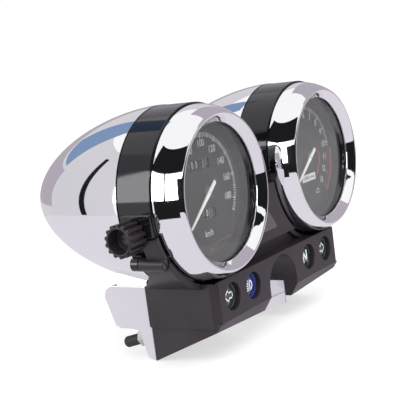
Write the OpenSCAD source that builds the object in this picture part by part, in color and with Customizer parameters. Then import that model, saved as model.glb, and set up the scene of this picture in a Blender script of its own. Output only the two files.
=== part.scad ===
// Twin-gauge motorcycle instrument cluster: two bullet-shaped chrome gauges side by side,
// a matt black front housing with four indicator lamps under them, a chrome rear cover,
// and a steel bracket that carries everything.
// Frame: +X to the rider's right, +Y away from the rider, +Z up.
// The origin is the centre of the bracket's mounting sleeve.
// Inside the modules the sizes are counted from the point midway between the two dial axes,
// in the plane of the bezel fronts; seated() moves that point to its place in the frame.

/* [Gauges] */
// Distance between the two dial axes
gauge_spacing = 140; // [132:0.5:150]
// Radius of the bezel at its front lip
lip_r = 50; // [46:0.5:54]
// Radius of the black band round the gauge body
band_r = 56.6; // [54:0.1:60]
// Depth at which the band begins behind the bezel front
band_front = 18.7; // [16:0.1:24]
// Depth at which the band ends and the cup begins
band_back = 43.1; // [38:0.1:50]
// Radius of the chrome cup at its mouth
cup_r = 57; // [55:0.1:60]
// Length of the chrome cup
cup_len = 102.7; // [80:0.1:130]
// Thickness of the cup wall
cup_wall = 1.4; // [0.8:0.1:2.5]
// Depth of the dial face behind the bezel front
dial_front = 17.5; // [12:0.1:22]
// Visible radius of the dial
dial_open_r = 39.6; // [36:0.1:44]

/* [Lamp panel] */
// Half width of the housing
panel_half_w = 86; // [80:0.5:95]
// Depth of the lamp face behind the bezel front
panel_front = 9; // [4:0.5:14]
// Depth of the housing's rear edge
panel_back = 62; // [50:0.5:70]
// Wall thickness of the housing
panel_wall = 2.5; // [1.5:0.1:4]
// Sideways place of the outer indicator lamps
lamp_outer_x = 66.4; // [60:0.1:75]
// Sideways place of the inner indicator lamps
lamp_inner_x = 40; // [34:0.1:50]
// Height of the indicator lamps
lamp_z = -67.3; // [-75:0.1:-62]
// Radius of the lamp openings
lamp_hole_r = 9; // [6:0.1:11]

/* [Tunnel] */
// Radius of the arch between the two halves of the panel
arch_r = 19; // [14:0.5:24]
// Height of the arch centre
arch_z = -75.5; // [-80:0.5:-70]

/* [Mounting] */
// Depth of the mounting sleeve's centre
mount_y = 74.8; // [70:0.1:80]
// Height of the mounting sleeve's centre
mount_z = -66; // [-70:0.1:-60]
// Lean of the bracket and the studs
tilt = 15; // [5:1:25]
// Bore radius of the mounting sleeve
sleeve_bore_r = 4.1; // [3:0.1:6]
// Sideways place of the studs
stud_x = 76; // [60:0.5:80]
// Distance of the studs below the sleeve, along the bracket
stud_drop = 27; // [20:0.1:32]

/* [Trip reset] */
// Depth of the reset shaft
reset_y = 33; // [28:0.1:38]
// Height of the reset shaft
reset_z = -15; // [-20:0.1:-10]
// Number of ribs round the knob
knob_ribs = 14; // [8:1:24]
// Radius of the knob over its ribs
knob_r = 10.3; // [8:0.1:12]

/* [Counters] */
// Radius of the number drums
drum_r = 9; // [7:0.1:11]
// Distance from drum to drum
drum_pitch = 4.6; // [4:0.1:6]
// Gap between neighbouring drums
drum_gap = 0.4; // [0.2:0.05:0.8]
// Depth of both drum axles
axle_y = 28.5; // [26:0.1:32]
// Height of the odometer axle above the dial axis
odo_z = 18; // [14:0.1:22]
// Height of the trip counter axle
trip_z = -13.5; // [-18:0.1:-10]

/* [Hidden] */
gauge_x = gauge_spacing / 2;
speedo = -1;
tacho = 1;
panel_top = -57;
face_top = -54.5;
fold_z = -84;
bottom_slope = 0.433;
needle_y = dial_front - 3;
lamp_xs = [-lamp_outer_x, -lamp_inner_x, lamp_inner_x, lamp_outer_x];
bulb_len = 12;
axle_r = 1.5;
drive_y = 84;
odo_right_x = 5.2;
trip_left_x = -3.4;
spigot_r = 6;
spigot_len = 12;
lamp_tube_back = 24;
cover_front = 62.4;
cover_wall = 2;
$fn = 96;

// ---------- placing ----------

// Moves a piece from the dial point to the frame of the whole part.
module seated() {
  translate([0, -mount_y, -mount_z]) children();
}

// Puts a piece drawn round the Y axis on the axis of one gauge.
module on_gauge(side) {
  seated() translate([side * gauge_x, 0, 0]) children();
}

// Turns a [radius, depth] outline about the gauge axis.
module spun(outline) {
  rotate([-90, 0, 0]) rotate_extrude($fn = 144) polygon(outline);
}

// A cylinder along +Y from one depth to another.
module rod_y(r, y_from, y_to) {
  translate([0, y_from, 0]) rotate([-90, 0, 0]) cylinder(r = r, h = y_to - y_from);
}

// A cylinder along +X from one place to another.
module rod_x(r, x_from, x_to) {
  translate([x_from, 0, 0]) rotate([0, 90, 0]) cylinder(r = r, h = x_to - x_from);
}

// A flat outline drawn in X and Z, thick along Y.
module slab_y(y_from, y_to) {
  translate([0, y_to, 0]) rotate([90, 0, 0]) linear_extrude(y_to - y_from) children();
}

// A flat outline drawn in Y and Z, thick along X.
module slab_x(half_w) {
  rotate([90, 0, 90]) translate([0, 0, -half_w]) linear_extrude(2 * half_w) children();
}

// The bracket's own leaning frame, with its origin in the mounting sleeve.
module leaning() {
  rotate([-tilt, 0, 0]) children();
}

// ---------- gauge outer pieces ----------

module bezel(side) {
  skirt = band_front - 0.3;
  on_gauge(side) spun([
    [48.4, 0], [49.5, 0.35], [lip_r, 1.3], [51.9, 4], [53.4, 7.5], [54.6, 11.5], [55.3, 15.5],
    [55.5, skirt], [54.1, skirt], [53.9, 15.6], [53.2, 12], [52, 8.6], [47, 8.6], [47, 6.2],
    [43.2, 6.2], [43.2, 5.2], [44.4, 3.6], [46.9, 0.6], [47.5, 0.1]
  ]);
}

module speedo_bezel() {
  color("silver") bezel(speedo);
}

module tacho_bezel() {
  color("silver") bezel(tacho);
}

module lens(side) {
  on_gauge(side) rod_y(46.7, 6.8, 8.6);
}

module speedo_lens() {
  color([0.8, 0.9, 0.9, 0.3]) lens(speedo);
}

module tacho_lens() {
  color([0.8, 0.9, 0.9, 0.3]) lens(tacho);
}

module lens_seals() {
  color("black") for (side = [speedo, tacho]) {
    on_gauge(side) spun([[43.6, 6.3], [46.6, 6.3], [46.6, 6.7], [43.6, 6.7]]);
  }
}

// The black ring between the glass and the dial.
module trim_rings() {
  back = dial_front - 0.2;
  color([0.08, 0.08, 0.08]) for (side = [speedo, tacho]) {
    on_gauge(side) spun([
      [43.3, 8.8], [46.5, 8.8], [46.5, back], [dial_open_r, back], [43.2, back - 3.4]
    ]);
  }
}

// The black band that joins bezel and cup, with a short collar at each end.
module band_ring() {
  spun([
    [51.8, 12.5], [53, 12.5], [53, band_front], [band_r - 0.4, band_front],
    [band_r, band_front + 0.6], [band_r, band_back - 0.5], [band_r - 0.3, band_back],
    [54.1, band_back], [54.1, band_back + 7], [52.6, band_back + 7], [52.6, band_back - 1.6],
    [54.6, band_back - 3.6], [54.6, 21.5], [52.6, 20], [51.8, 20]
  ]);
}

// Directions of the saddle screws: one below the outer side of each gauge, one below the inner.
function outer_angle(side) = side == speedo ? -146 : -34;
function inner_angle(side) = -180 - outer_angle(side);

// Lugs on the band that the saddle screws run into.
module band_lugs() {
  for (lug_angle = [-146, -34]) {
    rotate([0, -lug_angle, 0]) translate([60.2, 0, 0]) {
      difference() {
        union() {
          rod_y(4.4, 36.2, 41.5);
          translate([-4.6, 36.2, -3]) cube([4, 5.3, 6]);
        }
        rod_y(1.6, 36, 41.6);
      }
    }
  }
}

module band(side) {
  on_gauge(side) difference() {
    union() {
      band_ring();
      difference() {
        band_lugs();
        rod_y(band_r - 0.5, 30, 45);
      }
    }
    if (side == speedo) {
      translate([-60, reset_y, reset_z]) rod_x(2.6, -6, 12);
    }
  }
}

module speedo_band() {
  color([0.03, 0.03, 0.03]) band(speedo);
}

module tacho_band() {
  color([0.03, 0.03, 0.03]) band(tacho);
}

// Radius of a bullet shape at a share of its length.
function bullet_r(share) = pow(max(0, 1 - pow(share, 1.68)), 0.558);

// Outline of the cup's surface, from the mouth to the tip.
function cup_line(r, len) = [
  for (i = [0 : 24])
    let (share = sin(i * 90 / 24)) [r * bullet_r(share), band_back + 0.2 + len * share]
];

function reversed(list) = [for (i = [len(list) - 1 : -1 : 0]) list[i]];

module cup_shell() {
  inner = cup_line(cup_r - cup_wall, cup_len - cup_wall);
  spun(concat(cup_line(cup_r, cup_len), reversed(inner)));
}

module speedo_cup() {
  color("silver") on_gauge(speedo) difference() {
    cup_shell();
    translate([0, drive_y, -70]) cylinder(r = 7, h = 60);
  }
}

module tacho_cup() {
  color("silver") on_gauge(tacho) cup_shell();
}

// ---------- gauge inner pieces ----------

// The moulded case that carries dial and movement.
module case_shell(side) {
  on_gauge(side) difference() {
    spun([
      [0, 42.2], [44, 42.2], [44, 19.2], [46.8, 19.2], [46.8, 9.6], [51.4, 9.6], [51.4, 24],
      [54.3, 24], [54.3, 27], [51.4, 27], [51.4, 44.6], [0, 44.6]
    ]);
    rod_y(side == speedo ? 4 : 5, 40, 46);
    for (x = [-30, 30]) {
      translate([x, 0, -24]) rod_y(5.1, 40, 46);
    }
    if (side == speedo) {
      translate([0, reset_y, reset_z]) rod_x(2.6, -56, -40);
    }
  }
}

module speedo_case() {
  color([0.1, 0.1, 0.1]) case_shell(speedo);
}

module tacho_case() {
  color([0.1, 0.1, 0.1]) case_shell(tacho);
}

// A number window cut through the dial plate.
module dial_window(x_from, x_to, z_mid, height) {
  translate([x_from, dial_front - 1, z_mid - height / 2]) cube([x_to - x_from, 4, height]);
}

module dial_plate() {
  difference() {
    rod_y(46.5, dial_front, dial_front + 1);
    rod_y(2, dial_front - 1, dial_front + 2);
  }
}

module speedo_dial() {
  color([0.2, 0.2, 0.2]) on_gauge(speedo) difference() {
    dial_plate();
    dial_window(odo_right_x - 4.5 * drum_pitch, odo_right_x + 0.5 * drum_pitch, odo_z, 6);
    dial_window(trip_left_x - 0.5 * drum_pitch, trip_left_x + 2.5 * drum_pitch, trip_z, 6);
  }
}

module tacho_dial() {
  color([0.2, 0.2, 0.2]) on_gauge(tacho) dial_plate();
}

// Direction of the needle at rest, counted from +X towards +Z.
function rest_angle(side) = side == speedo ? -143 : -146;

module needle(side, length) {
  on_gauge(side) rotate([0, -rest_angle(side), 0]) difference() {
    slab_y(needle_y, needle_y + 0.8) {
      polygon([[-9.5, -1.15], [-9.5, 1.15], [0, 1.3], [length, 0.55], [length, -0.55], [0, -1.3]]);
    }
    rod_y(0.8, 0, 30);
  }
}

module speedo_needle() {
  color("white") needle(speedo, 31.5);
}

module tacho_needle() {
  color("white") needle(tacho, 31.5);
}

// The boss behind the needle that grips the spindle.
module hub(side) {
  on_gauge(side) difference() {
    rod_y(3.6, needle_y + 0.9, needle_y + 2.4);
    rod_y(0.8, 0, 30);
  }
}

module speedo_hub() {
  color([0.12, 0.12, 0.12]) hub(speedo);
}

module tacho_hub() {
  color([0.12, 0.12, 0.12]) hub(tacho);
}

module speedo_spindle() {
  color("lightgray") on_gauge(speedo) rod_y(0.78, needle_y + 0.1, 52);
}

module tacho_spindle() {
  color("lightgray") on_gauge(tacho) rod_y(0.78, needle_y + 0.1, 38);
}

// The aluminium cup that the turning magnet drags round.
module drag_cup() {
  color("silver") on_gauge(speedo) difference() {
    rod_y(9.6, 51, 60);
    rod_y(8.8, 52.4, 61);
    rod_y(0.8, 50, 53);
  }
}

module magnet_shaft() {
  color([0.4, 0.4, 0.42]) on_gauge(speedo) {
    rod_y(8, 53, 59);
    rod_y(axle_r, 58, 77);
    rod_y(5, 75, 77.4);
  }
}

// Frame of the speedometer movement, with the front bearing of the spindle.
module speedo_movement() {
  color([0.55, 0.55, 0.56]) on_gauge(speedo) difference() {
    union() {
      rod_y(13, 44.9, 63);
      rod_y(24, 44.9, 47.4);
    }
    rod_y(10.4, 50.2, 61);
    rod_y(0.84, 44, 52);
    rod_y(axle_r + 0.06, 60, 64);
    for (x = [-30, 30]) {
      translate([x, 0, -24]) rod_y(7, 44, 48);
    }
  }
}

// Right-angle gearbox and the threaded spigot that the speedometer cable screws on to.
module drive_gearbox() {
  color([0.7, 0.65, 0.5]) on_gauge(speedo) difference() {
    union() {
      translate([0, drive_y, -80]) cylinder(r = spigot_r, h = spigot_len);
      translate([0, drive_y, spigot_len - 80]) cylinder(r = 6.6, h = 62 - spigot_len);
      translate([-6, 63.4, -22]) cube([12, 20, 4]);
      translate([-6, 63.4, -22]) cube([12, 2.6, 28]);
    }
    translate([0, drive_y, -81]) cylinder(r = 2.06, h = 64);
    rod_y(axle_r + 0.06, 63, 67);
  }
}

module drive_shaft() {
  color([0.45, 0.45, 0.48]) on_gauge(speedo) translate([0, drive_y, 0]) {
    translate([0, 0, -78]) cylinder(r = 2, h = 72);
    translate([0, 0, -8]) cylinder(r = 5, h = 2.2);
  }
}

// Sheet frame between dial and case that carries both drum axles.
module counter_frame() {
  left_x = -18;
  right_x = 11;
  color([0.6, 0.6, 0.62]) on_gauge(speedo) difference() {
    union() {
      for (x = [left_x - 1.2, right_x]) {
        translate([x, 20, -23.5]) cube([1.2, 20, 51.5]);
      }
      translate([left_x - 1.2, 39, -23.5]) cube([right_x - left_x + 2.4, 1.4, 51.5]);
    }
    for (z = [odo_z, trip_z]) {
      translate([0, axle_y, z]) rod_x(axle_r + 0.02, -25, 20);
    }
    rod_y(3, 38, 42);
    translate([0, reset_y, reset_z]) rod_x(1.68, -25, -15);
  }
}

module counter_axles() {
  color("lightgray") on_gauge(speedo) for (z = [odo_z, trip_z]) {
    translate([0, axle_y, z]) rod_x(axle_r, -19.2, 12.2);
  }
}

// One number drum, centred at x on its axle.
module drum(x, z, hub_len) {
  half_w = (drum_pitch - drum_gap) / 2;
  on_gauge(speedo) translate([x, axle_y, z]) difference() {
    union() {
      rod_x(drum_r, -half_w, half_w);
      if (hub_len > 0) {
        rod_x(2.3, -half_w - hub_len, -half_w);
      }
    }
    rod_x(axle_r + 0.08, -half_w - hub_len - 1, half_w + 1);
  }
}

// Odometer drums are numbered from the fastest, on the right, to the slowest.
module odo_drum(number) {
  color("black") drum(odo_right_x - (number - 1) * drum_pitch, odo_z, 0);
}

module odo_drum_1() {
  odo_drum(1);
}

module odo_drum_2() {
  odo_drum(2);
}

module odo_drum_3() {
  odo_drum(3);
}

module odo_drum_4() {
  odo_drum(4);
}

module odo_drum_5() {
  odo_drum(5);
}

// Trip drums are numbered from the left; the first carries the reset pinion.
module trip_drum(number) {
  color("black") drum(trip_left_x + (number - 1) * drum_pitch, trip_z, number == 1 ? 9 : 0);
}

module trip_drum_1() {
  trip_drum(1);
}

module trip_drum_2() {
  trip_drum(2);
}

module trip_drum_3() {
  trip_drum(3);
}

// ---------- trip reset ----------

module on_reset_axis() {
  seated() translate([0, reset_y, reset_z]) children();
}

module reset_knob() {
  outer = -143;
  inner = -129;
  color([0.06, 0.06, 0.06]) on_reset_axis() difference() {
    union() {
      rod_x(knob_r - 1.7, outer, inner);
      for (i = [0 : knob_ribs - 1]) {
        rotate([i * 360 / knob_ribs, 0, 0]) translate([0, 0, knob_r - 1.3]) rod_x(1.3, outer + 0.6, inner);
      }
    }
    rod_x(knob_r - 2.8, outer - 1, -133.6);
    rod_x(1.62, -134, inner + 1);
  }
}

module knob_screw() {
  color("lightgray") on_reset_axis() difference() {
    rod_x(3.4, -135.4, -133.8);
    translate([-136, -4, -0.4]) cube([1.4, 8, 0.8]);
  }
}

module reset_shaft() {
  color("lightgray") on_reset_axis() {
    rod_x(1.6, -133.7, -78.4);
    rod_x(2.3, -84.5, -80);
  }
}

// The block on the speedometer band that guides the reset shaft.
module knob_boss() {
  color([0.04, 0.04, 0.04]) seated() difference() {
    union() {
      translate([-128.4, 19.6, -16.4]) cube([10, 20.9, 13.4]);
      translate([-128.4, 29.8, -23.6]) cube([10, 10.7, 9]);
    }
    translate([-gauge_x, 0, 0]) rod_y(band_r + 0.1, 0, 60);
    translate([0, reset_y, reset_z]) rod_x(1.68, -140, -110);
  }
}

// ---------- tachometer movement ----------

module tacho_movement() {
  color([0.5, 0.5, 0.52]) on_gauge(tacho) difference() {
    rod_y(22, 20, 41.8);
    rod_y(7, 26, 36);
    rod_y(0.84, 19, 27);
    rod_y(0.84, 35, 38.6);
  }
}

module tacho_rotor() {
  color([0.3, 0.3, 0.32]) on_gauge(tacho) difference() {
    rod_y(5.5, 28, 34);
    rod_y(0.8, 27, 35);
  }
}

// ---------- front housing ----------

// Height of the sloping underside at a given depth.
function underside_z(y) = fold_z - bottom_slope * (y - panel_front);

// The panel from the side, up to the given rear edge.
module panel_side(back) {
  polygon([
    [panel_front, face_top], [panel_front, -81.2], [panel_front + 3.6, -86.4],
    [back, underside_z(back)], [back, panel_top], [21, panel_top], [21, face_top]
  ]);
}

// The panel from above, with its clipped front corners.
module panel_plan(half_w) {
  polygon([
    [4 - half_w, panel_front], [half_w - 4, panel_front], [half_w, panel_front + 4.5],
    [half_w, 120], [-half_w, 120], [-half_w, panel_front + 4.5]
  ]);
}

// Everything inside the panel's sides; the part below the fold is set in a little.
module panel_bounds(shrink) {
  translate([0, 0, fold_z]) linear_extrude(60) panel_plan(panel_half_w - shrink);
  translate([0, 0, -120]) linear_extrude(60) panel_plan(panel_half_w - 1.7 - shrink);
}

// The arch in front view: round above, straight sides below.
module arch_face(r) {
  translate([0, arch_z]) circle(r = r);
  translate([-r, arch_z - 60]) square([2 * r, 60]);
}

// Outline between the two gauges, kept clear of both bands.
module between_gauges(half_w, z_from, z_to, clear_r) {
  difference() {
    translate([-half_w, z_from]) square([2 * half_w, z_to - z_from]);
    for (side = [speedo, tacho]) {
      translate([side * gauge_x, 0]) circle(r = clear_r);
    }
  }
}

// A ring sector round one gauge, from one angle to another.
module saddle_sector(r_in, r_out, angle_from, angle_to) {
  reach = 2 * r_out;
  mid = (angle_from + angle_to) / 2;
  intersection() {
    difference() {
      circle(r = r_out);
      circle(r = r_in);
    }
    polygon([
      [0, 0], reach * [cos(angle_from), sin(angle_from)],
      1.5 * reach * [cos(mid), sin(mid)], reach * [cos(angle_to), sin(angle_to)]
    ]);
  }
}

// Depth of the saddle's rear edge at a height: it sweeps back towards the bottom.
function saddle_back(z) = 29 + 28 * pow(max(0, (-25 - z) / 32), 2);

// The saddle from the side.
module saddle_side() {
  polygon(concat(
    [[17.6, -10], [17.6, -70], [57, -70]],
    [for (i = [0 : 8]) let (z = -57 + 4 * i) [saddle_back(z), z]],
    [[29, -10]]
  ));
}

// Cradle under one gauge. Angles count from the outer side, downwards.
module saddle(side) {
  flip = side == speedo ? 0 : 1;
  translate([side * gauge_x, 0, 0]) mirror([flip, 0, 0]) {
    intersection() {
      slab_y(17.6, 57) saddle_sector(57, 60.4, -163, -20);
      slab_x(70) saddle_side();
    }
    for (boss_angle = [-146, -34]) {
      rotate([0, -boss_angle, 0]) translate([60.2, 0, 0]) rod_y(4.4, 18.4, 35.8);
    }
  }
}

// The part of the housing that rises between the gauges.
module bridge_block() {
  difference() {
    slab_y(15, 34.5) between_gauges(40, -46, -8, 57);
    slab_y(17.5, 36) between_gauges(40, -60, -10.5, 59.4);
  }
}

// The recessed strip between bridge and lamp face.
module groove_block() {
  difference() {
    slab_y(20, 34.5) between_gauges(60, -58, -45, 57);
    slab_y(22.5, 36) between_gauges(60, -60, -44, 59.4);
  }
}

// Gap between the lamp tubes and what stands in them.

module lamp_tubes() {
  for (x = lamp_xs) {
    translate([x, 0, lamp_z]) rod_y(lamp_hole_r + 1.6, panel_front + 1, lamp_tube_back);
  }
}

module lamp_holes() {
  for (x = lamp_xs) {
    translate([x, 0, lamp_z]) rod_y(lamp_hole_r, panel_front - 1, 60);
  }
}

// Hollow wedge with a front face, sides and a sloping floor.
module panel_shell() {
  difference() {
    intersection() {
      slab_x(100) panel_side(panel_back);
      panel_bounds(0);
    }
    intersection() {
      slab_x(100) offset(delta = -panel_wall) panel_side(panel_back + 20);
      panel_bounds(panel_wall);
    }
  }
}

// Chin under the lamp face: it deepens from the outer ends towards the arch.
module chin() {
  intersection() {
    slab_x(panel_half_w - 1.7) polygon([
      [panel_front, -81.2], [15.6, -90.8], [24.6, -90.8], [24.6, -81.2]
    ]);
    slab_y(panel_front - 1, 30) for (side = [-1, 1]) {
      polygon([[side * 18, -80], [side * 85, -80], [side * 85, -86.4], [side * 18, -90.6]]);
    }
  }
}

// Arched wall of the tunnel; its legs stop short so that the rear cover's cheeks can follow.
module tunnel_wall() {
  intersection() {
    difference() {
      slab_y(panel_front, panel_back) arch_face(arch_r + 2.5);
      slab_y(0, 120) arch_face(arch_r);
      translate([-30, 19.6, -140]) cube([60, 100, 61]);
    }
    slab_x(100) panel_side(panel_back);
  }
}

// Thick roof over the tunnel, between the two cups.
module tunnel_roof() {
  roof_half_w = 27;
  translate([-roof_half_w, 20, -60]) cube([2 * roof_half_w, panel_back - 20, 9]);
}

// Screw bosses for the bracket, tied to the nearest wall.
module bracket_boss(x, wall_x) {
  low = min(x, wall_x);
  translate([0, mount_y, mount_z]) leaning() difference() {
    union() {
      translate([x, 0, -8]) rod_y(4.4, -20, -1.8);
      translate([low, -20, -9.5]) cube([abs(wall_x - x), 7, 3]);
    }
    translate([x, 0, -8]) rod_y(1.6, -15, -1);
  }
}

module bracket_bosses() {
  for (side = [-1, 1]) {
    bracket_boss(side * 77, side * 84.5);
    bracket_boss(side * 29, side * 21);
  }
}

// The triangular opening for the warning lamp.
module warning_outline(grow) {
  offset(r = 1.5 + grow, $fn = 24) polygon([[0, -27.5], [8, -37.8], [-8, -37.8]]);
}

module front_housing() {
  color([0.09, 0.09, 0.09]) seated() difference() {
    union() {
      panel_shell();
      saddle(speedo);
      saddle(tacho);
      bridge_block();
      groove_block();
      chin();
      lamp_tubes();
      tunnel_wall();
      tunnel_roof();
      bracket_bosses();
    }
    slab_y(0, 120) arch_face(arch_r);
    translate([-21.3, 19.6, -140]) cube([42.6, 60, 61]);
    lamp_holes();
    slab_y(14, 20) warning_outline(0.15);
    for (side = [speedo, tacho]) {
      translate([side * gauge_x, 0, 0]) {
        rod_y(57, 10, 43);
        rod_y(cup_r + 0.3, 42, 70);
        rotate([0, -outer_angle(side), 0]) translate([60.2, 0, 0]) {
          rod_y(2.1, 10, 40);
          rod_y(3.3, 10, 20.4);
        }
        rotate([0, -inner_angle(side), 0]) translate([60.2, 0, 0]) rod_y(1.6, 24, 40);
      }
    }
  }
}

// ---------- lamps ----------

module lamp_lens(x) {
  seated() translate([x, 0, lamp_z]) rod_y(lamp_hole_r - 0.2, panel_front + 3.2, panel_front + 5);
}

module turn_lens_left() {
  color([0.05, 0.3, 0.2]) lamp_lens(-lamp_outer_x);
}

module beam_lens() {
  color([0.1, 0.2, 0.7]) lamp_lens(-lamp_inner_x);
}

module neutral_lens() {
  color([0.05, 0.25, 0.15]) lamp_lens(lamp_inner_x);
}

module turn_lens_right() {
  color([0.05, 0.3, 0.2]) lamp_lens(lamp_outer_x);
}

module warning_lens() {
  color([0.5, 0.5, 0.52]) seated() slab_y(14.8, 16.6) warning_outline(0);
}

// A small wedge-base bulb, its tip towards the rider.
module bulb(tip_y) {
  translate([0, tip_y + 2.4, 0]) sphere(r = 2.4, $fn = 32);
  rod_y(2.4, tip_y + 2.4, tip_y + bulb_len);
}

// Runs its children at every bulb place: four lamps, the warning lamp, two in each gauge.
module at_bulbs() {
  for (x = lamp_xs) {
    translate([x, 17, lamp_z]) children();
  }
  translate([0, 18.6, -34]) children();
  for (side = [speedo, tacho], x = [-30, 30]) {
    translate([side * gauge_x + x, 30, -24]) children();
  }
}

module bulbs() {
  color([0.9, 0.9, 0.85, 0.5]) seated() at_bulbs() bulb(0);
}

// Rubber sockets that hold the bulbs from behind.
module bulb_holders() {
  color([0.15, 0.15, 0.15]) seated() at_bulbs() difference() {
    union() {
      rod_y(4.9, bulb_len - 4, bulb_len + 5);
      rod_y(6.4, bulb_len + 3, bulb_len + 5);
    }
    rod_y(2.5, 0, bulb_len + 0.1);
  }
}

// ---------- rear cover ----------

// Depth of the leaning lower wall at a height, at a distance behind the bracket's middle.
function lower_wall_y(z, behind) = mount_y + behind / cos(tilt) + (z - mount_z) * tan(tilt);

// The rear cover from the side, from the given front edge.
module cover_side(front) {
  polygon([
    [front, panel_top], [90, panel_top], [94.6, -59.6], [96.4, -64.5], [89.8, -84.6],
    [88.2, -86], [77.5, -86], [lower_wall_y(-87.2, 3.6), -87.2], [lower_wall_y(-105, 3.6), -105],
    [front, underside_z(panel_back)]
  ]);
}

// Raised middle of the cover, over the tunnel.
module cover_hump(front, grow) {
  slab_y(front, 90 - grow) {
    square_w = 31 - grow;
    translate([-square_w, -70]) square([2 * square_w, 25 - grow]);
  }
}

module cover_shell() {
  difference() {
    union() {
      intersection() {
        slab_x(100) cover_side(cover_front);
        panel_bounds(0);
      }
      difference() {
        cover_hump(cover_front, 0);
        gauge_clearance();
      }
      cover_shoulders();
    }
    intersection() {
      slab_x(100) offset(delta = -cover_wall) cover_side(cover_front - 20);
      panel_bounds(cover_wall);
    }
    difference() {
      cover_hump(cover_front - 5, cover_wall);
      gauge_clearance();
    }
  }
}

// Space taken by both cups.
module gauge_clearance() {
  for (side = [speedo, tacho]) {
    translate([side * gauge_x, 0, 0]) spun(concat([[0, 40]], cup_line(cup_r + 0.5, cup_len)));
  }
}

// Shoulders that rise from the cover's top edge to the cups.
module cover_shoulders() {
  difference() {
    for (side = [-1, 1]) {
      slab_y(cover_front, 86) polygon([
        [side * 84.4, panel_top], [side * 81.5, -46], [side * 56, -46], [side * 56, panel_top]
      ]);
    }
    gauge_clearance();
  }
}

// Tunnel through the cover, with two cheeks that reach forward into the housing;
// the right one hangs lower.
module cover_tunnel() {
  intersection() {
    difference() {
      slab_y(cover_front, 120) arch_face(arch_r + cover_wall);
      slab_y(0, 130) arch_face(arch_r);
    }
    union() {
      slab_x(100) cover_side(cover_front);
      cover_hump(cover_front, 0);
    }
  }
  cheek(-1, underside_z(20), underside_z(34.5));
  cheek(1, -96.3, -99);
}

// One cheek of the tunnel, with the height of its lower edge at the front and further back.
module cheek(side, z_front, z_back) {
  translate([side * (arch_r + 1), 0, 0]) slab_x(1) polygon([
    [20, -79.4], [cover_front + 1, -79.4], [cover_front + 1, underside_z(panel_back)],
    [34.5, z_back], [20, z_front]
  ]);
}

module stud_places() {
  for (side = [-1, 1]) {
    translate([side * stud_x, 0, -stud_drop]) children();
  }
}

// The harness outlet's own frame: +Y leaves the leaning rear wall squarely.
module at_outlet() {
  translate([50, 93.1, -74.55]) rotate([-18.2, 0, 0]) children();
}

module rear_cover() {
  color("silver") difference() {
    seated() difference() {
      union() {
        cover_shell();
        cover_tunnel();
      }
      slab_y(0, 130) arch_face(arch_r);
      translate([-11.5, 66, -72]) cube([23, 18, 23]);
      translate([speedo * gauge_x, drive_y, -100]) cylinder(r = 10, h = 60);
      at_outlet() rod_y(6, -8, 5);
    }
    leaning() stud_places() rod_y(3.4, 1, 6);
  }
}

// ---------- bracket and fixings ----------

module mount_bracket() {
  color([0.35, 0.35, 0.37]) leaning() difference() {
    slab_y(-1.5, 1.5) difference() {
      union() {
        translate([-80, -33]) square([160, 30]);
        translate([-60, -33]) square([120, 37]);
        translate([-27, 0]) square([54, 17.5]);
      }
      translate([0, -10]) circle(r = 23.5);
      translate([-23.5, -60]) square([47, 50]);
      for (side = [-1, 1]) {
        translate([side * 77, -8]) circle(r = 2.2, $fn = 32);
        translate([side * 29, -8]) circle(r = 2.2, $fn = 32);
      }
    }
    stud_places() rod_y(3, -2, 2);
  }
  color([0.35, 0.35, 0.37]) leaning() slab_y(-1.5, 1.5) difference() {
    union() {
      circle(r = 10);
      translate([-10, 0]) square([20, 14.5]);
    }
    circle(r = 7.2);
  }
}

module mount_bush() {
  color([0.08, 0.08, 0.08]) leaning() spun([
    [5.6, -4.2], [9, -4.2], [9, -1.6], [7.1, -1.6], [7.1, 1.6], [9, 1.6], [9, 4.2], [5.6, 4.2]
  ]);
}

module mount_sleeve() {
  color("silver") leaning() spun([
    [sleeve_bore_r, -5], [5.5, -5], [5.5, 5], [sleeve_bore_r, 5]
  ]);
}

module studs() {
  color("silver") leaning() stud_places() {
    rod_y(2.95, -2, 22.5);
    rod_y(5, -3.4, -1.6);
  }
}

module stud_nuts() {
  color("silver") leaning() stud_places() difference() {
    union() {
      rod_y(5.6, 3.8, 5.2);
      translate([0, 5.2, 0]) rotate([-90, 0, 0]) cylinder(r = 5.7, h = 5, $fn = 6);
    }
    rod_y(3.05, 3, 12);
  }
}

// Soft caps over the stud ends.
module stud_caps() {
  color([0.05, 0.05, 0.05]) leaning() stud_places() difference() {
    spun([[0, 10.6], [3.75, 10.6], [3.75, 22.8], [3.2, 23.8], [2.2, 24.2], [0, 24.2]]);
    rod_y(3.05, 10, 22.7);
  }
}

module pan_screw(shank_r, shank_len, head_r, head_h) {
  rod_y(head_r, -head_h, 0);
  rod_y(shank_r, 0, shank_len);
}

// The outer saddle screws go in from the front, the hidden inner ones from behind.
module saddle_screws() {
  color("silver") for (side = [speedo, tacho]) {
    on_gauge(side) rotate([0, -outer_angle(side), 0]) translate([60.2, 20.3, 0]) {
      slotted_screw(19);
    }
    on_gauge(side) rotate([0, -inner_angle(side), 0]) translate([60.2, 41.6, 0]) mirror([0, 1, 0]) {
      slotted_screw(16);
    }
  }
}

module slotted_screw(shank_len) {
  difference() {
    pan_screw(1.5, shank_len, 3.1, 1.6);
    translate([-0.4, -2, -4]) cube([0.8, 1.2, 8]);
  }
}

module bracket_screws() {
  color("silver") leaning() for (side = [-1, 1], x = [29, 77]) {
    translate([side * x, 1.6, -8]) mirror([0, 1, 0]) pan_screw(1.5, 12, 3.6, 1.8);
  }
}

module harness_grommet() {
  color([0.07, 0.07, 0.07]) seated() at_outlet() spun([
    [4, -4.2], [7.2, -4.2], [7.2, -2.1], [5.9, -2.1], [5.9, 0.1], [8, 0.1], [8, 2.1], [4, 2.1]
  ]);
}

// ---------- drawing ----------

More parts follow.
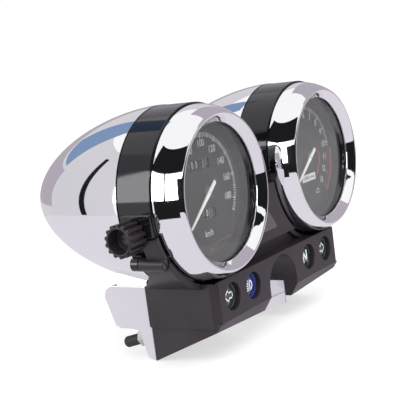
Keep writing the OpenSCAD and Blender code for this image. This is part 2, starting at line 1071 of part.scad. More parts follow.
speedo_bezel();
speedo_lens();
speedo_dial();
speedo_needle();
speedo_hub();
speedo_spindle();
drag_cup();
speedo_case();
speedo_band();
speedo_cup();
speedo_movement();
magnet_shaft();
drive_gearbox();
drive_shaft();
counter_frame();
counter_axles();
odo_drum_1();
odo_drum_2();
odo_drum_3();
odo_drum_4();
odo_drum_5();
trip_drum_1();
trip_drum_2();
trip_drum_3();
reset_knob();
knob_screw();
reset_shaft();
knob_boss();
tacho_bezel();
tacho_lens();
tacho_dial();
tacho_needle();
tacho_hub();
tacho_spindle();
tacho_rotor();
tacho_case();
tacho_band();
tacho_cup();
tacho_movement();
lens_seals();
trim_rings();
front_housing();
rear_cover();
warning_lens();
turn_lens_left();
beam_lens();
neutral_lens();
turn_lens_right();
bulbs();
bulb_holders();
mount_bracket();
mount_bush();
mount_sleeve();
studs();
stud_nuts();
stud_caps();
saddle_screws();
bracket_screws();
harness_grommet();
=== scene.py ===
"""Twin-gauge motorcycle instrument cluster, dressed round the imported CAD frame.

Lengths named in millimetres are turned into metres by MM. Places on the object are counted from
the gauges' axes and the CAD nodes' own boxes. "Depth" is the distance behind the plane of the
bezel fronts."""

import math
import bmesh
import bpy
from mathutils import Matrix, Vector


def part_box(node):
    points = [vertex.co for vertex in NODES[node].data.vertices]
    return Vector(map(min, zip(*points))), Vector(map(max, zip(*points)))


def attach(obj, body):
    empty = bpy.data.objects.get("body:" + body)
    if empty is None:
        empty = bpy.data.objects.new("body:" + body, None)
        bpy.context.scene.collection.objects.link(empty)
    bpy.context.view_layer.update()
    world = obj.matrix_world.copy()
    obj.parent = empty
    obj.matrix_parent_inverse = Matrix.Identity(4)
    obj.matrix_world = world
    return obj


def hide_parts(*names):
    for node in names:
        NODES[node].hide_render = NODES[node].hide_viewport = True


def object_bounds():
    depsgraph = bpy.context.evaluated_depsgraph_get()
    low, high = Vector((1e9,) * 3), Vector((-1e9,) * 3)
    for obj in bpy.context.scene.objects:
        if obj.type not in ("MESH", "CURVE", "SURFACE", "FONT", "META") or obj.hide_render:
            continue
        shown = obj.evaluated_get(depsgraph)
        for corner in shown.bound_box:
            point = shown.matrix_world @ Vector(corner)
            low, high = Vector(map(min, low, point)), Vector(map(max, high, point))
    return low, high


MM = 0.001
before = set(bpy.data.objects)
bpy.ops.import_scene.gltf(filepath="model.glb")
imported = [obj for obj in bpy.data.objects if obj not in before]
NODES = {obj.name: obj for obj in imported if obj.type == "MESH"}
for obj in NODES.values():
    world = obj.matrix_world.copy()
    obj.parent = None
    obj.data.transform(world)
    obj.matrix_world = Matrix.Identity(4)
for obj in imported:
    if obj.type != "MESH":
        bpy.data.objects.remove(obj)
cad_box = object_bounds()
HOME = "cluster"

# ---------- places taken from the frame ----------

def box_mm(node):
    """Lowest and highest corner of a CAD node, in millimetres."""
    low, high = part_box(node)
    return Vector(low) / MM, Vector(high) / MM


def gauge_origin(side):
    """Point on a gauge's axis in the plane of its bezel front, in millimetres."""
    low, high = box_mm(side + "_bezel")
    return Vector(((low.x + high.x) / 2, low.y, (low.z + high.z) / 2))


GAUGES = {side: gauge_origin(side) for side in ("speedo", "tacho")}
FRONT_Y = GAUGES["speedo"].y
DIAL_DEPTH = 17.5
RING_INNER_R = 39.6
CUP_WALL = 1.4
CABLE_DEPTH = 84.0
CABLE_HOLE_R = 7.0

# ---------- node-tree helpers ----------

NOISE_LOW = 0.3
NOISE_HIGH = 0.7
COAT_ROUGHNESS = 0.06
GLASS_IOR = 1.45

# Sockets of a Mix node that blends colours, where names repeat.
MIX_FACTOR = 0
MIX_FIRST = 6
MIX_SECOND = 7
MIX_RESULT = 2


def new_material(name):
    """An empty node material with its output node."""
    material = bpy.data.materials.new(name)
    material.use_nodes = True
    tree = material.node_tree
    tree.nodes.clear()
    output = tree.nodes.new("ShaderNodeOutputMaterial")
    return material, tree, output


def add_node(tree, kind, **inputs):
    """A node of that kind with its named inputs set."""
    node = tree.nodes.new(kind)
    for key, value in inputs.items():
        node.inputs[key.replace("_", " ")].default_value = value
    return node


def object_noise(tree, scale, detail=3.0):
    """Noise fixed to the piece's own coordinates, with scale in waves per metre."""
    place = tree.nodes.new("ShaderNodeTexCoord")
    noise = add_node(tree, "ShaderNodeTexNoise", Scale=scale, Detail=detail)
    tree.links.new(place.outputs["Object"], noise.inputs["Vector"])
    return noise


def ramp_between(tree, source, low, high):
    """Maps the middle range of a noise output to a number between low and high."""
    node = add_node(tree, "ShaderNodeMapRange")
    node.inputs["From Min"].default_value = NOISE_LOW
    node.inputs["From Max"].default_value = NOISE_HIGH
    node.inputs["To Min"].default_value = low
    node.inputs["To Max"].default_value = high
    tree.links.new(source, node.inputs["Value"])
    return node.outputs["Result"]


def colour_between(tree, source, first, second):
    """Blends two colours by a 0 to 1 source."""
    mix = tree.nodes.new("ShaderNodeMix")
    mix.data_type = "RGBA"
    mix.inputs[MIX_FIRST].default_value = (*first, 1)
    mix.inputs[MIX_SECOND].default_value = (*second, 1)
    tree.links.new(source, mix.inputs[MIX_FACTOR])
    return mix.outputs[MIX_RESULT]


def soft_edges(tree, radius_mm):
    """Normals rounded over the edges by that radius."""
    bevel = tree.nodes.new("ShaderNodeBevel")
    bevel.samples = 6
    bevel.inputs["Radius"].default_value = radius_mm * MM
    return bevel.outputs["Normal"]


def bumped(tree, height, strength, distance_mm, edge_mm=0.0):
    """A bump over rounded edges, ready for a shader's Normal."""
    bump = tree.nodes.new("ShaderNodeBump")
    bump.inputs["Strength"].default_value = strength
    bump.inputs["Distance"].default_value = distance_mm * MM
    tree.links.new(height, bump.inputs["Height"])
    if edge_mm:
        tree.links.new(soft_edges(tree, edge_mm), bump.inputs["Normal"])
    return bump.outputs["Normal"]


def surface(name, colours, roughness, metallic=0.0, grain=(900.0, 0.15, 0.03), edge_mm=0.0,
            patch=25.0, coat=0.0, specular=0.5):
    """A Principled surface with patchy colour and roughness and a fine grain.

    A grain is (waves per metre, strength, height in millimetres)."""
    material, tree, output = new_material(name)
    shader = add_node(tree, "ShaderNodeBsdfPrincipled", Metallic=metallic)
    shader.inputs["Coat Weight"].default_value = coat
    shader.inputs["Coat Roughness"].default_value = COAT_ROUGHNESS
    shader.inputs["Specular IOR Level"].default_value = specular
    patches = object_noise(tree, patch)
    fine = object_noise(tree, grain[0], detail=2.0)
    tone = ramp_between(tree, patches.outputs["Fac"], 0.0, 1.0)
    tree.links.new(colour_between(tree, tone, *colours), shader.inputs["Base Color"])
    rough = ramp_between(tree, patches.outputs["Fac"], *roughness)
    tree.links.new(rough, shader.inputs["Roughness"])
    normal = bumped(tree, fine.outputs["Fac"], grain[1], grain[2], edge_mm)
    tree.links.new(normal, shader.inputs["Normal"])
    tree.links.new(shader.outputs["BSDF"], output.inputs["Surface"])
    return material


def clear_pane(name, tint):
    """Smooth glass that casts no dark shadow."""
    material, tree, output = new_material(name)
    glass = add_node(tree, "ShaderNodeBsdfPrincipled", Roughness=0.0, IOR=GLASS_IOR)
    glass.inputs["Base Color"].default_value = (*tint, 1)
    glass.inputs["Transmission Weight"].default_value = 1.0
    see_through = tree.nodes.new("ShaderNodeBsdfTransparent")
    see_through.inputs["Color"].default_value = (*tint, 1)
    path = tree.nodes.new("ShaderNodeLightPath")
    mix = tree.nodes.new("ShaderNodeMixShader")
    tree.links.new(path.outputs["Is Shadow Ray"], mix.inputs["Fac"])
    tree.links.new(glass.outputs["BSDF"], mix.inputs[1])
    tree.links.new(see_through.outputs["BSDF"], mix.inputs[2])
    tree.links.new(mix.outputs["Shader"], output.inputs["Surface"])
    return material


# ---------- materials ----------

def make_materials():
    """Every finish of the cluster, by name."""
    return {
        "chrome": surface("chrome_plate", ((0.90, 0.90, 0.92), (0.95, 0.95, 0.96)), (0.02, 0.05),
                          metallic=1.0, grain=(40.0, 0.004, 0.05), patch=12.0),
        "formed": surface("formed_chrome", ((0.86, 0.86, 0.88), (0.93, 0.93, 0.94)), (0.04, 0.08),
                          metallic=1.0, grain=(60.0, 0.02, 0.05), patch=12.0, edge_mm=0.6),
        "gloss": surface("gloss_black", ((0.003, 0.003, 0.005), (0.006, 0.006, 0.009)),
                         (0.05, 0.09), grain=(160.0, 0.02, 0.03), edge_mm=0.5),
        "matte": surface("grained_black", ((0.020, 0.014, 0.019), (0.030, 0.021, 0.028)),
                         (0.34, 0.46), grain=(1600.0, 0.35, 0.05), edge_mm=0.8, specular=0.4),
        "dial": surface("dial_lacquer", ((0.030, 0.028, 0.030), (0.042, 0.039, 0.042)),
                        (0.5, 0.6), grain=(2600.0, 0.04, 0.02), patch=60.0, specular=0.05),
        "ring": surface("inner_ring_black", ((0.006, 0.006, 0.007), (0.011, 0.011, 0.012)),
                        (0.45, 0.6), grain=(1300.0, 0.2, 0.03), specular=0.05),
        "print": surface("white_print", ((0.55, 0.55, 0.55), (0.68, 0.68, 0.68)), (0.5, 0.6),
                         grain=(3000.0, 0.1, 0.01), specular=0.05),
        "bright": surface("bright_print", ((0.8, 0.8, 0.79), (0.9, 0.9, 0.89)), (0.45, 0.55),
                          grain=(3000.0, 0.1, 0.01)),
        "red": surface("red_print", ((0.20, 0.03, 0.03), (0.28, 0.05, 0.04)), (0.5, 0.6),
                       grain=(3000.0, 0.1, 0.01)),
        "needle": surface("needle_white", ((0.82, 0.82, 0.80), (0.9, 0.9, 0.88)), (0.35, 0.45),
                          grain=(1200.0, 0.1, 0.01)),
        "drum": surface("drum_grey", ((0.024, 0.023, 0.024), (0.034, 0.032, 0.034)), (0.4, 0.55),
                        grain=(1800.0, 0.2, 0.02), specular=0.05),
        "pale_drum": surface("last_drum", ((0.20, 0.19, 0.20), (0.26, 0.25, 0.26)), (0.4, 0.55),
                             grain=(1800.0, 0.2, 0.02), specular=0.05),
        "steel": surface("zinc_steel", ((0.50, 0.50, 0.49), (0.62, 0.61, 0.58)), (0.22, 0.38),
                         metallic=1.0, grain=(700.0, 0.2, 0.03), patch=120.0, edge_mm=0.3),
        "black_steel": surface("black_steel", ((0.02, 0.02, 0.021), (0.035, 0.034, 0.035)),
                               (0.3, 0.42), grain=(500.0, 0.2, 0.05), edge_mm=0.4, coat=0.2),
        "cast": surface("cast_zinc", ((0.42, 0.42, 0.42), (0.52, 0.52, 0.51)), (0.35, 0.5),
                        metallic=1.0, grain=(500.0, 0.4, 0.06), edge_mm=0.3),
        "rubber": surface("rubber_black", ((0.012, 0.012, 0.012), (0.022, 0.021, 0.021)),
                          (0.6, 0.75), grain=(900.0, 0.4, 0.06), edge_mm=0.4),
        "case": surface("case_plastic", ((0.05, 0.05, 0.05), (0.08, 0.08, 0.08)), (0.5, 0.6),
                        grain=(900.0, 0.2, 0.04)),
        "glass": clear_pane("clear_glass", (0.97, 0.98, 0.98)),
        "bulb": clear_pane("bulb_glass", (0.97, 0.95, 0.9)),
        "green": surface("green_lens", ((0.022, 0.034, 0.033), (0.032, 0.046, 0.044)),
                         (0.12, 0.2), grain=(300.0, 0.1, 0.03), coat=0.4),
        "blue": surface("blue_lens", ((0.020, 0.032, 0.16), (0.028, 0.045, 0.20)), (0.12, 0.2),
                        grain=(300.0, 0.1, 0.03), coat=0.3),
        "neutral": surface("neutral_lens", ((0.008, 0.028, 0.023), (0.013, 0.04, 0.033)),
                           (0.12, 0.2), grain=(300.0, 0.1, 0.03), coat=0.4),
        "smoked": surface("smoked_lens", ((0.05, 0.045, 0.05), (0.07, 0.065, 0.07)), (0.2, 0.3),
                          grain=(300.0, 0.1, 0.03), coat=0.6),
    }


FINISH = make_materials()

# The CAD nodes that are kept, by the finish that dresses them.
NODE_FINISH = {
    "formed": ["rear_cover"],
    "gloss": ["speedo_band", "tacho_band", "knob_boss"],
    "matte": ["front_housing", "reset_knob"],
    "dial": ["speedo_dial", "tacho_dial"],
    "case": ["speedo_case", "tacho_case", "speedo_hub", "tacho_hub"],
    "drum": ["trip_drum_1", "trip_drum_2", "odo_drum_2", "odo_drum_3", "odo_drum_4",
             "odo_drum_5"],
    "pale_drum": ["trip_drum_3", "odo_drum_1"],
    "steel": ["speedo_spindle", "tacho_spindle", "magnet_shaft", "drive_shaft", "counter_frame",
              "counter_axles", "reset_shaft", "tacho_rotor", "mount_sleeve", "studs", "stud_nuts",
              "bracket_screws"],
    "black_steel": ["mount_bracket", "knob_screw", "saddle_screws"],
    "cast": ["drag_cup", "speedo_movement", "drive_gearbox", "tacho_movement"],
    "rubber": ["lens_seals", "bulb_holders", "mount_bush", "stud_caps", "harness_grommet"],
    "needle": ["speedo_needle", "tacho_needle"],
    "glass": ["speedo_lens", "tacho_lens"],
    "bulb": ["bulbs"],
    "smoked": ["warning_lens"],
}


def dress_node(node, material):
    """Gives a CAD node its finish."""
    NODES[node].data.materials.clear()
    NODES[node].data.materials.append(material)


def dress_nodes():
    """Gives every kept CAD node its finish."""
    for finish, names in NODE_FINISH.items():
        for node in names:
            dress_node(node, FINISH[finish])


# ---------- mesh helpers ----------

def add_piece(name, bm, material, body=HOME, smooth_angle=40.0):
    """Turns a bmesh in millimetres into a finished piece that rides on a body."""
    bmesh.ops.remove_doubles(bm, verts=bm.verts, dist=1e-4)
    bmesh.ops.recalc_face_normals(bm, faces=bm.faces)
    mesh = bpy.data.meshes.new(name)
    bm.to_mesh(mesh)
    bm.free()
    mesh.transform(Matrix.Scale(MM, 4))
    for polygon in mesh.polygons:
        polygon.use_smooth = True
    mesh.set_sharp_from_angle(angle=math.radians(smooth_angle))
    piece = bpy.data.objects.new(name, mesh)
    bpy.context.scene.collection.objects.link(piece)
    mesh.materials.append(material)
    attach(piece, body)
    return piece


def smooth_profile(points, steps=6):
    """A closed outline through the points, with each marked corner turned into a small arc.

    A point is (radius, depth) or (radius, depth, corner size)."""
    rounded = []
    count = len(points)
    for i, point in enumerate(points):
        here = Vector(point[:2])
        if len(point) == 2:
            rounded.append(here)
            continue
        before = Vector(points[i - 1][:2])
        after = Vector(points[(i + 1) % count][:2])
        start = here + (before - here).normalized() * point[2]
        end = here + (after - here).normalized() * point[2]
        for k in range(steps + 1):
            t = k / steps
            rounded.append(start.lerp(here, t).lerp(here.lerp(end, t), t))
    return rounded


def lathe(outline, centre, segments=192):
    """Turns a (radius, depth) outline about the Y axis through centre."""
    bm = bmesh.new()
    rings = []
    for i in range(segments):
        angle = math.tau * i / segments
        spoke = Vector((math.cos(angle), 0, math.sin(angle)))
        rings.append([bm.verts.new(centre + spoke * p[0] + Vector((0, p[1], 0))) for p in outline])
    for i, ring in enumerate(rings):
        following = rings[(i + 1) % segments]
        for k in range(len(ring)):
            nxt = (k + 1) % len(ring)
            bm.faces.new((ring[k], ring[nxt], following[nxt], following[k]))
    return bm


def curve_through(points, per_span=8):
    """A smooth line through the points (Catmull-Rom)."""
    line = []
    ends = [points[0]] + list(points) + [points[-1]]
    for i in range(1, len(ends) - 2):
        a, b, c, d = (Vector(p) for p in ends[i - 1:i + 3])
        for k in range(per_span):
            t = k / per_span
            line.append(0.5 * (2 * b + (c - a) * t + (2 * a - 5 * b + 4 * c - d) * t * t
                               + (3 * b - a - 3 * c + d) * t ** 3))
    line.append(Vector(points[-1]))
    return line


# ---------- gauge outer pieces ----------

FLANK_R = 55.45
FLANK_END = 19
FLANK_FLARE = 0.0127
FLANK_POWER = 2.1
BULLET_LENGTHWISE = 1.68
BULLET_CROSSWISE = 0.558


def flank_radius(depth):
    """Radius of the bezel's flared flank, which turns parallel to the axis at its back."""
    return FLANK_R - FLANK_FLARE * (FLANK_END - depth) ** FLANK_POWER


def make_bezel(side):
    """Chrome bezel: flared flank, bright rolled lip and a polished funnel."""
    depths = [0.45 + 17.85 * i / 40 for i in range(41)]
    flank = [(flank_radius(depth), depth) for depth in depths]
    inner = [(54.15, 18.4), (53.9, 15.6), (53.2, 12), (52, 8.7), (47, 8.7), (47, 6.25, 0.2),
             (43.2, 6.2, 0.3), (43.25, 5.2, 0.3)]
    funnel = [tuple(p) for p in curve_through([(44.3, 3.9), (45.7, 2.2), (46.9, 0.85)])]
    lip = [(47.5, 0.25, 0.25), (48.3, 0.02, 0.3), (49.0, 0.08, 0.3)]
    bm = lathe(smooth_profile(flank + inner + funnel + lip), GAUGES[side])
    piece = add_piece(side + "_bezel_chrome", bm, FINISH["chrome"])
    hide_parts(side + "_bezel")


def bullet_radius(share):
    """Radius of the cup at a share of its length, as a part of its mouth radius."""
    return max(0.0, 1 - share ** BULLET_LENGTHWISE) ** BULLET_CROSSWISE


def cup_outline(side, steps=72):
    """Outline of the cup's skin from its mouth to its tip."""
    low, high = box_mm(side + "_cup")
    mouth_depth = low.y - FRONT_Y
    length = high.y - low.y
    mouth_r = (high.x - low.x) / 2
    outline = []
    for i in range(steps + 1):
        share = math.sin(math.pi / 2 * i / steps)
        outline.append((mouth_r * bullet_radius(share), mouth_depth + length * share))
    return outline


def cup_hole(centre, depth, radius):
    """A cutter for the cable hole in the underside of the speedometer's cup."""
    bpy.ops.mesh.primitive_cylinder_add(vertices=64, radius=radius * MM, depth=60 * MM)
    cutter = bpy.context.object
    cutter.location = (centre + Vector((0, depth, -40))) * MM
    return cutter


def make_cup(side):
    """Bullet-shaped chrome cup, closed at the tip, with a wall of about CUP_WALL."""
    outer = cup_outline(side)
    mouth_depth = outer[0][1]
    length = outer[-1][1] - mouth_depth
    inner = [(max(0.0, r - CUP_WALL), d - CUP_WALL * (d - mouth_depth) / length)
             for r, d in reversed(outer)]
    bm = lathe(outer + inner, GAUGES[side])
    piece = add_piece(side + "_cup_chrome", bm, FINISH["chrome"], smooth_angle=60)
    if side == "speedo":
        cutter = cup_hole(GAUGES[side], CABLE_DEPTH, CABLE_HOLE_R)
        cut = piece.modifiers.new("cable_hole", "BOOLEAN")
        cut.object = cutter
        cut.solver = "EXACT"
        apply_modifiers(piece)
        bpy.data.objects.remove(cutter)
    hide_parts(side + "_cup")


def apply_modifiers(piece):
    """Bakes a piece's modifiers into its mesh."""
    graph = bpy.context.evaluated_depsgraph_get()
    mesh = bpy.data.meshes.new_from_object(piece.evaluated_get(graph))
    piece.modifiers.clear()
    piece.data = mesh


def make_trim_ring(side):
    """Black inner wall and the sloping ring round the dial."""
    back = DIAL_DEPTH - 0.2
    outline = [(43.3, 8.8, 0.3), (46.5, 8.8), (46.5, back), (RING_INNER_R, back, 0.15),
               (43.15, 14.2, 0.8)]
    bm = lathe(smooth_profile(outline), GAUGES[side])
    return add_piece(side + "_trim_ring", bm, FINISH["ring"])


def make_outer_pieces():
    """Bezels, cups and trim rings of both gauges."""
    rings = []
    for side in GAUGES:
        make_bezel(side)
        make_cup(side)
        rings.append(make_trim_ring(side))
    rings[1].parent = rings[0]
    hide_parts("trim_rings")


# ---------- printed dials ----------

PRINT_LIFT = 0.06
PRINT_THICK = 0.05
SIZE_PER_CAPITAL = 1.4


class Print:
    """Flat printed marks on one dial, drawn in gauge-local X and Z."""

    def __init__(self, side, depth=DIAL_DEPTH - PRINT_LIFT):
        self.origin = GAUGES[side] + Vector((0, depth, 0))
        self.bm = bmesh.new()

    def shape(self, points):
        """A thin filled outline."""
        front = [self.bm.verts.new(self.origin + Vector((x, 0, z))) for x, z in points]
        back = [self.bm.verts.new(v.co + Vector((0, PRINT_THICK, 0))) for v in front]
        self.bm.faces.new(front)
        self.bm.faces.new(list(reversed(back)))
        for i in range(len(front)):
            k = (i + 1) % len(front)
            self.bm.faces.new((front[k], front[i], back[i], back[k]))

    def bar(self, angle, r_in, r_out, width):
        """A radial tick at an angle from +X towards +Z, in degrees."""
        a = math.radians(angle)
        middle = Vector(PRINT_SHIFT)
        out = Vector((math.cos(a), math.sin(a)))
        across = Vector((-out.y, out.x)) * (width / 2)
        corners = (out * r_in - across, out * r_out - across, out * r_out + across,
                   out * r_in + across)
        self.shape([tuple(middle + c) for c in corners])

    def label(self, words, angle):
        """A number placed so that its own box lies just inside the scale."""
        a = math.radians(angle)
        half_wide = 0.36 * LABEL_HEIGHT * len(words)
        radius = (LABEL_RIM - half_wide * abs(math.cos(a))
                  - LABEL_HEIGHT / 2 * abs(math.sin(a)))
        x = PRINT_SHIFT[0] + radius * math.cos(a)
        z = PRINT_SHIFT[1] + radius * math.sin(a)
        self.text(words, x, z, LABEL_HEIGHT, 0.85)

    def arc(self, angle_from, angle_to, r_in, r_out, steps=24):
        """A curved band."""
        outer = []
        inner = []
        for i in range(steps + 1):
            a = math.radians(angle_from + (angle_to - angle_from) * i / steps)
            outer.append((r_out * math.cos(a), r_out * math.sin(a)))
            inner.append((r_in * math.cos(a), r_in * math.sin(a)))
        self.shape(outer + list(reversed(inner)))

    def line(self, points, width):
        """A run of straight strokes."""
        for start, end in zip(points, points[1:]):
            a, b = Vector(start), Vector(end)
            across = (b - a).orthogonal().normalized() * (width / 2)
            along = (b - a).normalized() * (width / 2)
            corners = (a - along - across, b + along - across, b + along + across,
                       a - along + across)
            self.shape([tuple(c) for c in corners])

    def text(self, words, x, z, height, squeeze=1.0):
        """Generic lettering centred on a point."""
        for outline in letter_outlines(words, height, squeeze):
            self.shape([(px + x, pz + z) for px, pz in outline])

    def piece(self, name, finish, slot="dial_face"):
        """The finished print."""
        return add_piece(name, self.bm, FINISH[finish], smooth_angle=30)


def letter_outlines(words, height, squeeze):
    """Flat faces of a line of lettering, centred, as lists of points in millimetres."""
    font = bpy.data.curves.new("lettering", "FONT")
    font.body = words
    font.size = height * SIZE_PER_CAPITAL
    font.align_x = "CENTER"
    font.align_y = "CENTER"
    font.resolution_u = 4
    carrier = bpy.data.objects.new("lettering", font)
    bpy.context.scene.collection.objects.link(carrier)
    graph = bpy.context.evaluated_depsgraph_get()
    mesh = bpy.data.meshes.new_from_object(carrier.evaluated_get(graph))
    outlines = [[(mesh.vertices[i].co.x * squeeze, mesh.vertices[i].co.y) for i in face.vertices]
                for face in mesh.polygons]
    bpy.data.objects.remove(carrier)
    bpy.data.curves.remove(font)
    bpy.data.meshes.remove(mesh)
    return outlines


# Angles of the zero marks, and degrees to each km/h and to each thousand r/min.
SPEEDO_ZERO = 218.0
SPEEDO_STEP = -1.307
TACHO_ZERO = 201.0
TACHO_STEP = -19.1

# Ticks and numbers lie this far off the gauge's axis, in X and Z.
PRINT_SHIFT = (-1.0, 1.2)
TICK_OUTER = 36.4
TICK_SHORT = 33.6
LABEL_RIM = 32.2
LABEL_HEIGHT = 4.7
RED_FROM_TENTH = 103


def print_speedo():
    """Speed scale, unit, thin red lines and small print of the speedometer."""
    marks = Print("speedo")
    for speed in range(0, 191, 2):
        angle = SPEEDO_ZERO + SPEEDO_STEP * speed
        if speed % 20 == 0:
            marks.bar(angle, 32.6, TICK_OUTER, 0.9)
        elif speed % 10 == 0:
            marks.bar(angle, 33.4, TICK_OUTER, 0.7)
        else:
            marks.bar(angle, TICK_SHORT, TICK_OUTER, 0.5)
    for speed in range(20, 190, 20):
        marks.label(str(speed), SPEEDO_ZERO + SPEEDO_STEP * speed)
    marks.text("km/h", -2.5, -25.5, 4.2, 0.8)
    marks.piece("speedo_scale", "print")
    rim = Print("speedo")
    rim.line([(28, -17.6), (25, -32), (-2, -33)], 0.35)
    rim.text("TRIP", -2, -36.4, 1.6)
    rim.piece("speedo_outline", "red")


def print_tacho():
    """Engine speed scale, red zone and unit plate of the tachometer."""
    marks = Print("tacho")
    red = Print("tacho")
    for tenth in range(0, 131, 2):
        angle = TACHO_ZERO + TACHO_STEP * tenth / 10
        layer = red if tenth > RED_FROM_TENTH else marks
        if tenth % 10 == 0:
            layer.bar(angle, 32.4, TICK_OUTER, 0.9)
        else:
            layer.bar(angle, TICK_SHORT, TICK_OUTER, 0.5)
    for number in range(1, 14):
        marks.label(str(number), TACHO_ZERO + TACHO_STEP * number)
    marks.shape([(-12, -17.2), (9, -17.2), (9, -12), (-12, -12)])
    marks.line([(8, -27.5), (9.5, -25), (12, -25), (12, -28), (8, -27.5)], 0.4)
    marks.piece("tacho_scale", "print")
    red.arc(10, -50, 17.6, 19.4)
    red.arc(4, -47, 36.9, 38.9)
    red.piece("tacho_red_zone", "red")
    label = Print("tacho", DIAL_DEPTH - 2 * PRINT_LIFT)
    label.text("x1000 r/min", -1.5, -14.6, 2.4, 1.0)
    label.piece("tacho_unit", "ring")


# ---------- number drums ----------

DIGIT_STEP = 36
DIGIT_FROM_RIGHT = 2.1
DIGIT_SQUEEZE = 0.62
DIGIT_LIFT = 0.04
INK_THICK = 0.03


def digits_on_drum(node, body, shown, finish, height=4.6):
    """The ten digits round one drum, with the shown one at the front at rest."""
    low, high = box_mm(node)
    radius = (high.z - low.z) / 2 + DIGIT_LIFT
    axle_y = (low.y + high.y) / 2
    axle_z = (low.z + high.z) / 2
    x_mid = high.x - DIGIT_FROM_RIGHT
    bm = bmesh.new()
    for digit in range(10):
        offset = math.radians((digit - shown) * DIGIT_STEP)
        for outline in letter_outlines(str(digit), height, DIGIT_SQUEEZE):
            ring = []
            for u, w in outline:
                a = w / radius + offset
                ring.append(bm.verts.new((x_mid + u, axle_y - radius * math.cos(a),
                                          axle_z + radius * math.sin(a))))
            bm.faces.new(ring)
    piece = add_piece(node + "_digits", bm, FINISH[finish], body)
    thicken = piece.modifiers.new("ink", "SOLIDIFY")
    thicken.thickness = INK_THICK * MM
    apply_modifiers(piece)


def make_digits():
    """Digits on every counter drum, dark on the pale last drum of each counter."""
    for number, shown in zip(range(1, 6), (9, 1, 0, 0, 0)):
        finish = "ring" if number == 1 else "bright"
        digits_on_drum(f"odo_drum_{number}", f"odo_{number}", shown, finish)
    for number, shown in zip(range(1, 4), (0, 0, 8)):
        finish = "ring" if number == 3 else "bright"
        digits_on_drum(f"trip_drum_{number}", f"trip_{number}", shown, finish)


# ---------- indicator lamps ----------

def make_lens(node, finish):
    """A shallow domed lens with a moulded rim, in place of a plain disc."""
    low, high = box_mm(node)
    radius = (high.x - low.x) / 2
    thick = high.y - low.y
    centre = Vector(((low.x + high.x) / 2, low.y, (low.z + high.z) / 2))
    dome = [(radius * 0.86 * t / 8, 0.15 + 0.35 * (t / 8) ** 2) for t in range(9)]
    outline = dome + [(radius * 0.9, 0.1, 0.1), (radius, 0.1, 0.2), (radius, thick), (0, thick)]
    bm = lathe(smooth_profile(outline), centre, 96)
    piece = add_piece(node + "_dome", bm, FINISH[finish])
    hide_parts(node)
    return centre


class Icon(Print):
    """White symbol on a lamp lens."""

    def __init__(self, centre):
        self.origin = centre + Vector((0, 0.02, 0))
        self.bm = bmesh.new()


def arrow_points(direction, scale):
    """Outline of a turn arrow that points left (-1) or right (1)."""
    half = [(5.0, 0), (0.6, 4.2), (0.6, 1.9), (-4.4, 1.9)]
    outline = half + [(x, -z) for x, z in reversed(half)]
    return [(direction * x * scale, z * scale) for x, z in outline] + [(direction * 5.0 * scale, 0)]


def make_turn_lamp(node, direction):
    """Green lamp with an arrow in outline."""
    icon = Icon(make_lens(node, "green"))
    icon.line(arrow_points(direction, 0.95), 0.9)
    icon.piece(node + "_arrow", "bright", "needle_white")


def make_beam_lamp():
    """Blue lamp with the headlamp symbol."""
    icon = Icon(make_lens("beam_lens", "blue"))
    icon.arc(90, -90, 2.4, 3.5)
    icon.shape([(-0.5, -3.5), (0.5, -3.5), (0.5, 3.5), (-0.5, 3.5)])
    for k in range(5):
        z = 3.0 - 1.5 * k
        icon.line([(-4.5, z), (-1.7, z)], 0.8)
    icon.piece("beam_symbol", "bright", "needle_white")


def make_neutral_lamp():
    """Dark lamp with the letter N."""
    icon = Icon(make_lens("neutral_lens", "neutral"))
    icon.line([(-2.6, -3.7), (-2.6, 3.7), (2.6, -3.7), (2.6, 3.7)], 1.6)
    icon.piece("neutral_letter", "bright", "needle_white")


def make_lamps():
    """All four indicator lamps."""
    make_turn_lamp("turn_lens_left", -1)
    make_beam_lamp()
    make_neutral_lamp()
    make_turn_lamp("turn_lens_right", 1)


# ---------- studio ----------

WINDOW = (5.5, 5.5, 5.6)
WALL = (0.68, 0.66, 0.70)
LOW_WALL = (0.46, 0.42, 0.48)
TABLE = (0.76, 0.72, 0.78)
BLUE_CLOTH = (0.21, 0.31, 0.50)
FLAG = (0.012, 0.012, 0.014)
CARD_STEP = 1.5
PAPER_GLOW = 0.62

# Cards that the chrome mirrors: azimuth from +Y towards +X and elevation, each from and to in
# degrees, then colour and distance in metres.
CARDS = [
    ("table_far", -180, 180, -90, -10, TABLE, 2.6),
    ("wall", -50, 70, -10, 46, WALL, 2.5),
    ("low_wall", 2, 70, -4, 20, LOW_WALL, 2.45),
    ("window", -125, -50, 2, 32, WINDOW, 2.45),
    ("cloth", 5, 30, 22, 58, BLUE_CLOTH, 2.4),
    ("post", -28, -24, -9, 38, FLAG, 2.4),
    ("side_wall", 70, 150, -10, 62, LOW_WALL, 2.4),
    ("room", 150, 245, -12, 26, FLAG, 2.38),
    ("above_window", -160, -50, 33, 62, FLAG, 2.35),
    ("below_window", -115, -62, -18, 3, FLAG, 2.35),
    ("window_bar", -91, -87, 0, 34, FLAG, 2.3),
]


def card_material(name, colour):
    """Plain light of one colour."""
    material, tree, output = new_material(name)
    glow = tree.nodes.new("ShaderNodeEmission")
    glow.inputs["Color"].default_value = (*colour, 1)
    tree.links.new(glow.outputs["Emission"], output.inputs["Surface"])
    return material


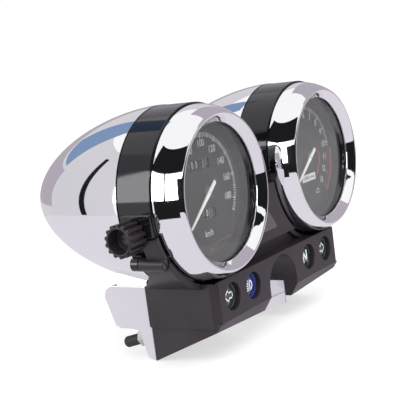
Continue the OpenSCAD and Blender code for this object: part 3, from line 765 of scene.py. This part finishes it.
def make_card(name, az_from, az_to, el_from, el_to, colour, distance):
    """A curved card round the object that only mirrors can see."""
    bm = bmesh.new()
    across = max(2, round(abs(az_to - az_from) / CARD_STEP))
    upward = max(2, round(abs(el_to - el_from) / CARD_STEP))
    grid = []
    for i in range(across + 1):
        az = math.radians(az_from + (az_to - az_from) * i / across)
        column = []
        for k in range(upward + 1):
            el = math.radians(el_from + (el_to - el_from) * k / upward)
            column.append(bm.verts.new((distance * math.sin(az) * math.cos(el),
                                        distance * math.cos(az) * math.cos(el),
                                        distance * math.sin(el))))
        grid.append(column)
    for left, right in zip(grid, grid[1:]):
        for k in range(upward):
            bm.faces.new((left[k], right[k], right[k + 1], left[k + 1]))
    mesh = bpy.data.meshes.new(name)
    bm.to_mesh(mesh)
    bm.free()
    mesh.materials.append(card_material(name, colour))
    card = bpy.data.objects.new("card_" + name, mesh)
    bpy.context.scene.collection.objects.link(card)
    card.visible_camera = False
    card.visible_diffuse = False
    card.visible_shadow = False
    card.visible_transmission = False


def make_floor():
    """Pale paper under the object."""
    material, tree, output = new_material("paper")
    shader = add_node(tree, "ShaderNodeBsdfPrincipled", Roughness=0.9)
    fibres = object_noise(tree, 300.0)
    tree.links.new(colour_between(tree, fibres.outputs["Fac"], (0.40, 0.40, 0.40),
                                  (0.42, 0.42, 0.42)), shader.inputs["Base Color"])
    shader.inputs["Emission Color"].default_value = (1, 1, 1, 1)
    shader.inputs["Emission Strength"].default_value = PAPER_GLOW
    tree.links.new(shader.outputs["BSDF"], output.inputs["Surface"])
    bm = bmesh.new()
    bmesh.ops.create_grid(bm, x_segments=2, y_segments=2, size=6.0)
    mesh = bpy.data.meshes.new("floor")
    bm.to_mesh(mesh)
    bm.free()
    mesh.materials.append(material)
    floor = bpy.data.objects.new("floor", mesh)
    bpy.context.scene.collection.objects.link(floor)
    floor.location.z = cad_box[0].z
    floor.visible_glossy = False


def make_lights():
    """White surroundings and two large soft lights."""
    world = bpy.data.worlds.new("studio")
    world.use_nodes = True
    world.node_tree.nodes["Background"].inputs["Color"].default_value = (1, 1, 1, 1)
    world.node_tree.nodes["Background"].inputs["Strength"].default_value = 1.0
    bpy.context.scene.world = world
    for name, place, size, power in (("key", (-0.8, -0.7, 1.3), 1.0, 14.0),
                                     ("fill", (0.9, -0.5, 0.9), 1.0, 6.0)):
        lamp = bpy.data.lights.new(name, "AREA")
        lamp.size = size
        lamp.energy = power
        holder = bpy.data.objects.new(name, lamp)
        holder.location = place
        holder.rotation_euler = (-Vector(place)).to_track_quat("-Z", "Y").to_euler()
        holder.visible_glossy = False
        bpy.context.scene.collection.objects.link(holder)


CAMERA_AZ = -56.22
CAMERA_EL = 8.09
CAMERA_ROLL = -7.52
CAMERA_DISTANCE = 680
CAMERA_TARGET = (-33.6, -28.5, 55.1)
CAMERA_LENS = 91.6


def make_camera():
    """Camera at the photograph's viewing angle: from the front left, a little above."""
    azimuth = math.radians(CAMERA_AZ)
    elevation = math.radians(CAMERA_EL)
    roll = math.radians(CAMERA_ROLL)
    camera = bpy.data.cameras.new("camera")
    camera.sensor_width = 36
    camera.lens = CAMERA_LENS
    holder = bpy.data.objects.new("camera", camera)
    away = Vector((math.sin(azimuth) * math.cos(elevation),
                   -math.cos(azimuth) * math.cos(elevation), math.sin(elevation)))
    target = Vector(CAMERA_TARGET) * MM
    holder.location = target + away * CAMERA_DISTANCE * MM
    aim = (-away).to_track_quat("-Z", "Y").to_matrix()
    holder.rotation_euler = (aim @ Matrix.Rotation(roll, 3, "Z")).to_euler()
    bpy.context.scene.collection.objects.link(holder)
    bpy.context.scene.camera = holder


# ---------- build ----------

dress_nodes()
make_outer_pieces()
print_speedo()
print_tacho()
make_digits()
make_lamps()
make_floor()
for card in CARDS:
    make_card(*card)
make_lights()
make_camera()
bpy.context.scene.view_settings.view_transform = "Standard"

bpy.context.view_layer.update()
